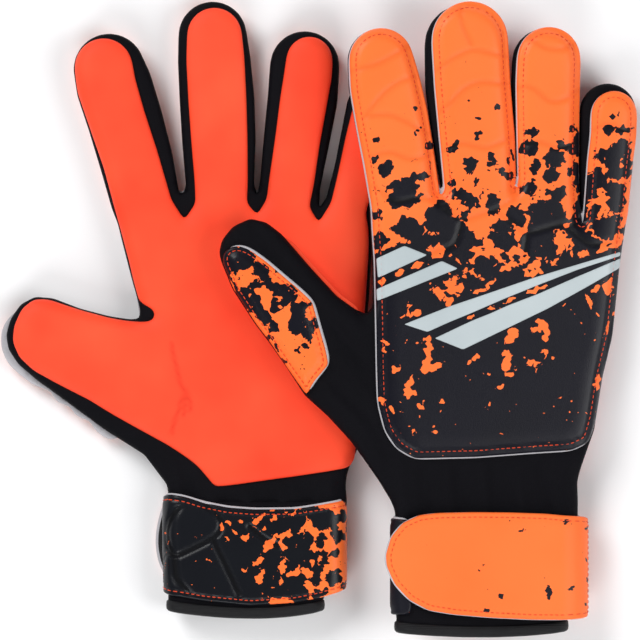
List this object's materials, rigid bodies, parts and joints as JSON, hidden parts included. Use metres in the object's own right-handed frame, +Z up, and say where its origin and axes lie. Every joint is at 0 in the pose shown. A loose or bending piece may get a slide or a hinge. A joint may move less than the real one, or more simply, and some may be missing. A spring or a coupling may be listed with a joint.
{
  "type": "goalkeeper gloves",
  "caption": "Pair of goalkeeper gloves laid flat, latex palm up and padded back up, with finger stalls, gussets and a wrist strap with a hook-and-loop flap.",
  "frame": {"origin": "middle of the pair's own box, on the table it lies on", "axes": "+Z up from the table, +Y from the cuffs to the fingertips, +X from the palm-up left glove to the back-up right glove"},
  "size_m": [0.2832, 0.2806, 0.042],
  "materials": {
    "palm_latex": "smooth satin latex foam",
    "printed_shell": "embossed coated synthetic, orange with a black spatter print and silver bars",
    "edge_foam": "matt white foam, seen at the cut edges",
    "neoprene": "matt black stretch knit",
    "lining": "matt knit lining",
    "hook_tape": "matt black hook tape",
    "loop_tape": "matt black loop tape"
  },
  "bodies": {
    "left_hand": {"left_palm_latex": "palm_latex", "left_palm_lining": "lining", "left_little_side_gusset": "neoprene", "left_thumb_side_gusset": "neoprene", "left_index_side_gusset": "neoprene", "left_backhand_foam": "edge_foam", "left_backhand_skin": "printed_shell", "left_wrist_neoprene": "neoprene", "left_cuff_binding": "neoprene", "left_strap_wrap": "printed_shell", "left_loop_patch": "loop_tape"},
    "left_strap": {"left_strap_flap": "printed_shell", "left_hook_patch": "hook_tape"},
    "left_thumb": {"left_thumb_palm_strip": "palm_latex", "left_thumb_gusset": "neoprene", "left_thumb_back_panel": "printed_shell"},
    "left_index": {"left_index_palm_strip": "palm_latex", "left_index_gusset": "neoprene", "left_index_back_panel": "printed_shell"},
    "left_middle": {"left_middle_palm_strip": "palm_latex", "left_middle_gusset": "neoprene", "left_middle_back_panel": "printed_shell"},
    "left_ring": {"left_ring_palm_strip": "palm_latex", "left_ring_gusset": "neoprene", "left_ring_back_panel": "printed_shell"},
    "left_little": {"left_little_palm_strip": "palm_latex", "left_little_gusset": "neoprene", "left_little_back_panel": "printed_shell"},
    "right_hand": {"right_palm_latex": "palm_latex", "right_palm_lining": "lining", "right_little_side_gusset": "neoprene", "right_thumb_side_gusset": "neoprene", "right_index_side_gusset": "neoprene", "right_backhand_foam": "edge_foam", "right_backhand_skin": "printed_shell", "right_wrist_neoprene": "neoprene", "right_cuff_binding": "neoprene", "right_strap_wrap": "printed_shell", "right_loop_patch": "loop_tape"},
    "right_strap": {"right_strap_flap": "printed_shell", "right_hook_patch": "hook_tape"},
    "right_thumb": {"right_thumb_palm_strip": "palm_latex", "right_thumb_gusset": "neoprene", "right_thumb_back_panel": "printed_shell"},
    "right_index": {"right_index_palm_strip": "palm_latex", "right_index_gusset": "neoprene", "right_index_back_panel": "printed_shell"},
    "right_middle": {"right_middle_palm_strip": "palm_latex", "right_middle_gusset": "neoprene", "right_middle_back_panel": "printed_shell"},
    "right_ring": {"right_ring_palm_strip": "palm_latex", "right_ring_gusset": "neoprene", "right_ring_back_panel": "printed_shell"},
    "right_little": {"right_little_palm_strip": "palm_latex", "right_little_gusset": "neoprene", "right_little_back_panel": "printed_shell"}
  },
  "joints": [
    {"name": "right_glove_lift", "type": "slide", "parent": "left_hand", "child": "right_hand", "axis": [0, 0, 1], "range_m": [0, 0.15]},
    {"name": "left_thumb_swing", "type": "hinge", "parent": "left_hand", "child": "left_thumb", "pos_m": [-0.08222, -0.00076, 0.018], "axis": [0, 0, -1], "range_deg": [0, 35]},
    {"name": "left_index_flex", "type": "hinge", "parent": "left_hand", "child": "left_index", "pos_m": [-0.07581, 0.04631, 0.018], "axis": [0.9512, 0.3084, 0], "range_deg": [0, 75]},
    {"name": "left_middle_flex", "type": "hinge", "parent": "left_hand", "child": "left_middle", "pos_m": [-0.04621, 0.04631, 0.018], "axis": [0.998, 0.064, 0], "range_deg": [0, 75]},
    {"name": "left_ring_flex", "type": "hinge", "parent": "left_hand", "child": "left_ring", "pos_m": [-0.01561, 0.04631, 0.018], "axis": [0.9925, -0.1226, 0], "range_deg": [0, 75]},
    {"name": "left_little_flex", "type": "hinge", "parent": "left_hand", "child": "left_little", "pos_m": [0.01009, 0.04531, 0.0145], "axis": [0.9837, -0.18, 0], "range_deg": [0, 75], "deforming": ["left_little_palm_strip", "left_little_gusset", "left_little_back_panel"]},
    {"name": "left_strap_open", "type": "hinge", "parent": "left_hand", "child": "left_strap", "pos_m": [0.00989, -0.10269, 0.0024], "axis": [0, -1, 0], "range_deg": [0, 150]},
    {"name": "right_thumb_swing", "type": "hinge", "parent": "right_hand", "child": "right_thumb", "pos_m": [0.0194, 0.00083, 0.0192], "axis": [0, 0, -1], "range_deg": [0, 22]},
    {"name": "right_index_flex", "type": "hinge", "parent": "right_hand", "child": "right_index", "pos_m": [0.03785, 0.04331, 0.01542], "axis": [-0.9739, -0.1729, 0.1473], "range_deg": [0, 75]},
    {"name": "right_middle_flex", "type": "hinge", "parent": "right_hand", "child": "right_middle", "pos_m": [0.06989, 0.04331, 0.01057], "axis": [-0.9872, -0.0555, 0.1493], "range_deg": [0, 75]},
    {"name": "right_ring_flex", "type": "hinge", "parent": "right_hand", "child": "right_ring", "pos_m": [0.09975, 0.04331, 0.00606], "axis": [-0.9887, 0.007, 0.1495], "range_deg": [0, 75]},
    {"name": "right_little_flex", "type": "hinge", "parent": "right_hand", "child": "right_little", "pos_m": [0.12476, 0.04331, 0.00227], "axis": [-0.9854, 0.082, 0.149], "range_deg": [0, 75]},
    {"name": "right_strap_open", "type": "hinge", "parent": "right_hand", "child": "right_strap", "pos_m": [0.11815, -0.10949, 0.02208], "axis": [0, 1, 0], "range_deg": [0, 150]}
  ]
}
